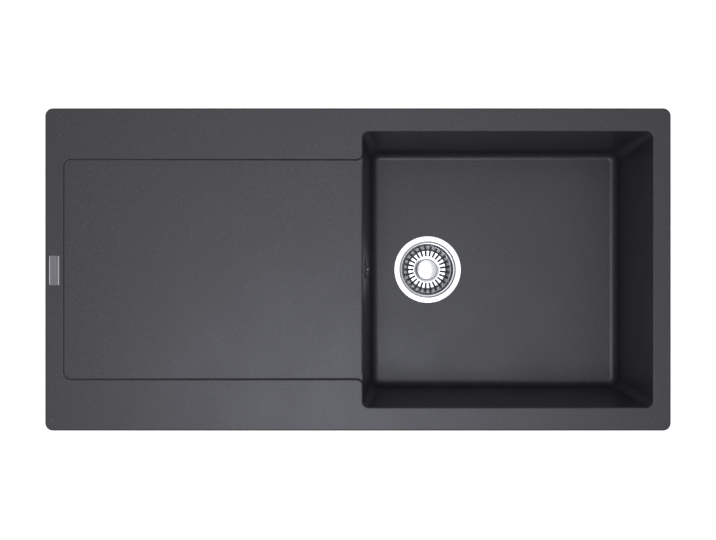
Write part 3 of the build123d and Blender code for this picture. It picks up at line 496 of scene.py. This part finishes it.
MAKERS = {
    "granite_composite_cast": granite_composite,
    "stainless_steel_polished": polished_stainless,
    "stainless_steel_drawn_shaded": drawn_and_shaded_stainless,
    "stainless_steel_satin": satin_stainless,
    "steel_zinc_plated": zinc_plate,
    "brass_turned": turned_brass,
    "polypropylene_white": white_polypropylene,
    "polypropylene_black": black_polypropylene,
    "nylon_natural": natural_nylon,
    "rubber_moulded": pressed_rubber,
    "foam_closed_cell": closed_cell_foam,
    "floor_paint_matt": floor_paint,
}


def material(name):
    """The finished material of that name, made the first time it is asked for."""
    return bpy.data.materials.get(name) or MAKERS[name](bpy.context.scene.sink_colours)


def dress(name, *nodes):
    """Gives CAD nodes a finished material in every slot they have."""
    for one in nodes:
        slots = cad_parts[one].material_slots
        if not slots:
            raise RuntimeError(f"{one} has no material slot")
        for slot in slots:
            slot.material = material(name)


# ---------------------------------------------------------------- operators


class SINK_OT_stage(bpy.types.Operator):
    """Floor, lights and camera of the studio"""

    bl_idname = "sink.stage"
    bl_label = "Stage"

    def execute(self, context):
        self.floor(context.scene)
        self.world(context.scene)
        self.lamps(context.scene)
        self.camera(context.scene)
        context.scene.view_settings.view_transform = "Standard"
        return {"FINISHED"}

    def floor(self, scene):
        """A shallow dish just below the sink, flat out to 5 m and risen at its far edge:
        z = floor + (r - flat)^2 / 8 past the flat. It starts 1 mm from its middle, so that no face
        comes to a point."""
        flat, far = 5.0, 9.0
        low = cad_low.z - 0.5 * MM
        r = np.concatenate([np.linspace(1 * MM, flat, 12), np.linspace(flat + 0.4, far, 10)])
        heights = low + np.clip(r - flat, 0, None) ** 2 / 8
        mesh = mesh_of("studio_floor", turned(r[:, None], heights, 96))
        mesh.flip_normals()
        mesh.shade_smooth()
        mesh.materials.append(material("floor_paint_matt"))
        floor = bpy.data.objects.new("studio_floor", mesh)
        scene.collection.objects.link(floor)

    def world(self, scene):
        """White near the horizon, as the paper backdrop is, a dark room above it, and light
        overhead: the ramp runs over the sine of the height above the horizon."""
        world = bpy.data.worlds.new("studio_light")
        scene.world = world
        world.use_nodes = True
        tree = world.node_tree
        tree.nodes.clear()
        dark = scene.sink_colours.room
        direction = add(tree, "ShaderNodeTexCoord").outputs["Generated"]
        above = add(tree, "ShaderNodeSeparateXYZ", links={0: direction})
        room = add(tree, "ShaderNodeValToRGB", links={"Fac": above.outputs["Z"]},
                   ramp=((0.34, WHITE), (0.48, dark), (0.74, dark), (0.89, WHITE)))
        light = add(tree, "ShaderNodeBackground", {"Strength": scene.sink_studio.sky},
                    {"Color": room.outputs[0]})
        add(tree, "ShaderNodeOutputWorld", links={"Surface": light.outputs[0]})

    def lamps(self, scene):
        """A wide round panel over the sink and a smaller one over its front edge, facing down."""
        studio = scene.sink_studio
        for name, size, place, power in (
            ("scrim", (1.6, 2.2), (-0.02, 0.2, 2.3), studio.scrim),
            ("key", (1.1, 0.8), (-0.06, -0.56, 2.2), studio.key),
        ):
            lamp = bpy.data.lights.new(name, "AREA")
            lamp.shape = "ELLIPSE"
            lamp.size, lamp.size_y = size
            lamp.energy = power
            lamp.color = scene.sink_colours.lamp
            panel = bpy.data.objects.new(name, lamp)
            panel.location = place
            scene.collection.objects.link(panel)

    def camera(self, scene):
        """The lens looks straight down, as the photograph's does."""
        studio = scene.sink_studio
        lens = bpy.data.cameras.new("camera")
        lens.lens, lens.sensor_width = studio.lens, 36.0
        lens.clip_start, lens.clip_end = 0.05, 50.0
        camera = bpy.data.objects.new("camera", lens)
        camera.location = (0.0, studio.camera_y, studio.camera_height)
        scene.collection.objects.link(camera)
        scene.camera = camera


class SINK_OT_moulded_body(bpy.types.Operator):
    """Bowl, drainer and rim in one casting, with the inlay and the sealing strip"""

    bl_idname = "sink.moulded_body"
    bl_label = "Moulded body"

    def execute(self, context):
        dress("granite_composite_cast", "sink_body")
        dress("foam_closed_cell", "rim_seal")
        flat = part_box("inlay_plate")[1].z - context.scene.sink_sizes.bead_height
        self.inlay_plate(flat)
        self.inlay_beads(context.scene.sink_sizes, flat)
        return {"FINISHED"}

    def inlay_plate(self, flat):
        """The inlay with its top ground down to the height flat, which leaves room for its beads:
        z becomes min(z, flat)."""
        ground = reshaped("inlay_plate", lambda points: np.minimum(points, (np.inf, np.inf, flat)))
        piece("inlay_plate_ground", ground, "stainless_steel_satin", "sink",
              "inlay_plate")

    def inlay_beads(self, sizes, flat):
        """Two polished beads along the inlay: the point at angle u of the ring at y is
        (x + w f cos u, y, flat + h f sin u), with w half the bead's width and h its height. f is 1
        along the bead and falls to 0 at its ends as the quarter circle sqrt(1 - e^2), where e runs
        from 0 to 1. Their lower halves are sunk in the plate."""
        steps, sides = 9, 16
        low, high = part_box("inlay_plate")
        width = sizes.bead_width
        e = np.concatenate([np.linspace(1, 0, steps), np.linspace(0, 1, steps)])
        rounding = (2 - e) * width
        y = np.concatenate([low.y + rounding[:steps], high.y - rounding[steps:]])[:, None]
        f = np.sqrt(1 - e ** 2)[:, None]
        u = np.linspace(0, 2 * math.pi, sides, endpoint=False)[None, :]
        across = width / 2 * f * np.cos(u)
        height = flat + sizes.bead_height * f * np.sin(u)
        along = np.broadcast_to(y, across.shape)
        points, faces = [], []
        for x in (low.x + sizes.bead_inset, high.x - sizes.bead_inset):
            faces.append(quads(2 * steps, sides) + sum(map(len, points)))
            points.append(np.stack([x + across, along, height], -1).reshape(-1, 3))
        both = np.concatenate(points), np.concatenate(faces)
        piece("inlay_beads", mesh_of("inlay_beads", both),
              "stainless_steel_polished", "sink")


class SINK_OT_waste(bpy.types.Operator):
    """Steel cup, its seals and screw, and the plastic body under the bowl"""

    bl_idname = "sink.waste"
    bl_label = "Waste"

    def execute(self, context):
        dress("stainless_steel_drawn_shaded", "strainer_cup", "waste_screw")
        dress("rubber_moulded", "flange_seal", "lower_gasket")
        dress("polypropylene_white", "waste_body", "waste_spider")
        dress("brass_turned", "waste_nut")
        self.threaded_outlet(context.scene.sink_sizes)
        self.ledge(context.scene.sink_sizes)
        return {"FINISHED"}

    def ledge(self, sizes):
        """The narrow ledge inside the flange's step: a shallow cone and a quarter ellipse that turns
        down into the cup, r = bore + (inner - bore) * (1 - cos t) and z = low - turn * (1 - sin t)
        with t from 90 to 0 degrees, turned about the waste's axis. Its outer edge and its back are
        sunk in the sheet."""
        sides, steps = 128, 8
        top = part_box("strainer_cup")[1].z
        outer, inner, bore = sizes.ledge_outer, sizes.ledge_inner, sizes.ledge_bore
        high, low = -sizes.ledge_depth, -sizes.ledge_depth - sizes.ledge_fall
        t = np.linspace(math.pi / 2, 0, steps)
        r = bore + (inner - bore) * (1 - np.cos(t))
        z = low - sizes.ledge_turn * (1 - np.sin(t))
        back = [(inner, low - 0.6 * sizes.ledge_turn), (outer, high - sizes.ledge_fall)]
        profile = np.concatenate([[(outer, high)], np.stack([r, z], -1), back])
        ring = turned(profile[:, :1], profile[:, 1], sides, True)
        piece("flange_ledge", mesh_of("flange_ledge", ring, (WASTE.x, WASTE.y, top)),
              "stainless_steel_polished", "sink")

    def threaded_outlet(self, sizes):
        """The waste body with a pipe thread on its outlet: the plain outlet of a copy is drawn in to
        the thread's root, r times root / outlet, and a threaded sleeve goes round it."""
        sides, rows_a_pitch, near = 96, 10, 0.1 * MM
        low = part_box("waste_body")[0].z
        top = low + sizes.outlet_length
        root = sizes.outlet_radius - sizes.outlet_depth

        def draw_in(points):
            across = points[:, :2] - WASTE[:2]
            off = np.abs(np.linalg.norm(across, axis=1) - sizes.outlet_radius)
            outside = (off < near) & (points[:, 2] < top + near)
            points[outside, :2] = WASTE[:2] + across[outside] * (root / sizes.outlet_radius)
            return points

        piece("waste_body_moulded", reshaped("waste_body", draw_in),
              "polypropylene_white", "sink", "waste_body")
        heights = np.arange(low, top, sizes.outlet_pitch / rows_a_pitch)
        outer = thread(sizes.outlet_radius, sizes.outlet_depth, sizes.outlet_pitch, heights, sides)
        radii = np.concatenate([outer, np.full_like(outer, root - sizes.outlet_sleeve)])
        sleeve = turned(radii, np.concatenate([heights, heights[::-1]]), sides, True)
        piece("outlet_thread", mesh_of("outlet_thread", sleeve, (WASTE.x, WASTE.y, 0)),
              "polypropylene_white", "sink")


class SINK_OT_basket(bpy.types.Operator):
    """Lift-out basket with its knob, stem, washer and seal"""

    bl_idname = "sink.basket"
    bl_label = "Basket"

    def execute(self, context):
        dress("stainless_steel_polished", "strainer_basket", "basket_knob")
        dress("steel_zinc_plated", "basket_stem")
        dress("rubber_moulded", "basket_seal")
        dress("polypropylene_black", "stem_washer")
        return {"FINISHED"}


class SINK_OT_overflow(bpy.types.Operator):
    """Overflow cover with its screw and seal, and the elbow behind the wall"""

    bl_idname = "sink.overflow"
    bl_label = "Overflow"

    def execute(self, context):
        dress("stainless_steel_satin", "overflow_cover", "overflow_screw")
        dress("rubber_moulded", "overflow_seal", "hose_rings")
        dress("polypropylene_white", "overflow_elbow")
        dress("polypropylene_black", "hose_nut_upper", "hose_nut_lower")
        return {"FINISHED"}


class SINK_OT_hose(bpy.types.Operator):
    """Ribbed hose from the overflow to the waste. At the distance s past a cuff its radius is
    radius - rib (1 - cos(2 pi s / pitch)) / 2, and it is plain at the two cuffs"""

    bl_idname = "sink.hose"
    bl_label = "Overflow hose"

    def execute(self, context):
        sides, rows_a_rib = 48, 10
        sizes = context.scene.sink_sizes
        pitch = sizes.hose_pitch
        low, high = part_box("overflow_hose")
        radius = (high.y - low.y) / 2
        x, y, z = low.x + radius, (low.y + high.y) / 2, low.z + radius
        s, path = bent_path((x, y, high.z), (x, y, z), (high.x, y, z), sizes.hose_bend,
                            pitch / rows_a_rib)
        past = np.minimum(s, s[-1] - s) - sizes.hose_cuff
        groove = (0.5 - 0.5 * np.cos(2 * math.pi * past / pitch)) * np.clip(past / pitch, 0, 1)
        outer = radius - sizes.hose_rib * groove
        tube = walled_tube(path, outer, outer - sizes.hose_wall, sides)
        piece("overflow_hose_ribbed", mesh_of("overflow_hose_ribbed", tube),
              "polypropylene_white", "sink", "overflow_hose", sharp=60)
        return {"FINISHED"}


class SINK_OT_clamps(bpy.types.Operator):
    """Dowels, threaded screws and claws that hold the sink in the worktop. A screw's socket is a
    hexagon, whose radius at angle u is flat / cos(u - 60 degrees * round(u / 60 degrees))"""

    bl_idname = "sink.clamps"
    bl_label = "Clamps"

    def execute(self, context):
        sizes = context.scene.sink_sizes
        dress("nylon_natural", "clamp_dowels")
        for number in CLAMPS:
            dress("steel_zinc_plated", f"clamp_claw_{number}")
            self.screw(sizes, number)
        return {"FINISHED"}

    def screw(self, sizes, number):
        """One screw, head down, from the floor of its socket round the head and up the thread."""
        sides, rows_a_pitch = 24, 6
        node = f"clamp_screw_{number}"
        low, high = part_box(node)
        tip = high.z - low.z
        head = (high.x - low.x) / 2
        u = np.linspace(0, 2 * math.pi, sides, endpoint=False)
        sixth = math.pi / 3
        flat = sizes.socket_radius * math.cos(sixth / 2)
        hexagon = flat / np.cos(u - sixth * np.round(u / sixth))
        shank = np.arange(sizes.head_height, tip, sizes.screw_pitch / rows_a_pitch)
        rows = [0 * u, hexagon, hexagon, 0 * u + head - sizes.head_ease, 0 * u + head, 0 * u + head]
        heights = [sizes.socket_depth, sizes.socket_depth, 0, 0, sizes.head_ease, sizes.head_height]
        rows.extend(thread(sizes.screw_radius, sizes.screw_depth, sizes.screw_pitch, shank, sides))
        heights.extend(shank)
        rows.extend([0 * u + sizes.screw_radius - 2 * sizes.head_ease, 0 * u])
        heights.extend([tip, tip])
        mesh = mesh_of(f"{node}_threaded", turned(rows, heights, sides),
                       ((low.x + high.x) / 2, (low.y + high.y) / 2, low.z))
        piece(f"{node}_threaded", mesh, "steel_zinc_plated", f"screw_{number}", node)


OPERATORS = (
    SINK_OT_stage, SINK_OT_moulded_body, SINK_OT_waste, SINK_OT_basket,
    SINK_OT_overflow, SINK_OT_hose, SINK_OT_clamps,
)


class SINK_PT_pieces(bpy.types.Panel):
    """Lists the pieces of the sink"""

    bl_idname = "SINK_PT_pieces"
    bl_label = "Sink with drainboard"
    bl_space_type = "VIEW_3D"
    bl_region_type = "UI"
    bl_category = "Sink"

    def draw(self, context):
        for one in OPERATORS:
            self.layout.operator(one.bl_idname)


CLASSES = (SinkColours, SinkSizes, SinkStudio, *OPERATORS, SINK_PT_pieces)


def register():
    for one in CLASSES:
        bpy.utils.register_class(one)
    bpy.types.Scene.sink_colours = bpy.props.PointerProperty(type=SinkColours)
    bpy.types.Scene.sink_sizes = bpy.props.PointerProperty(type=SinkSizes)
    bpy.types.Scene.sink_studio = bpy.props.PointerProperty(type=SinkStudio)


def unregister():
    del bpy.types.Scene.sink_studio
    del bpy.types.Scene.sink_sizes
    del bpy.types.Scene.sink_colours
    for one in reversed(CLASSES):
        bpy.utils.unregister_class(one)


def main():
    register()
    for one in OPERATORS:
        group, action = one.bl_idname.split(".")
        getattr(getattr(bpy.ops, group), action)()


if __name__ == "__main__":
    main()
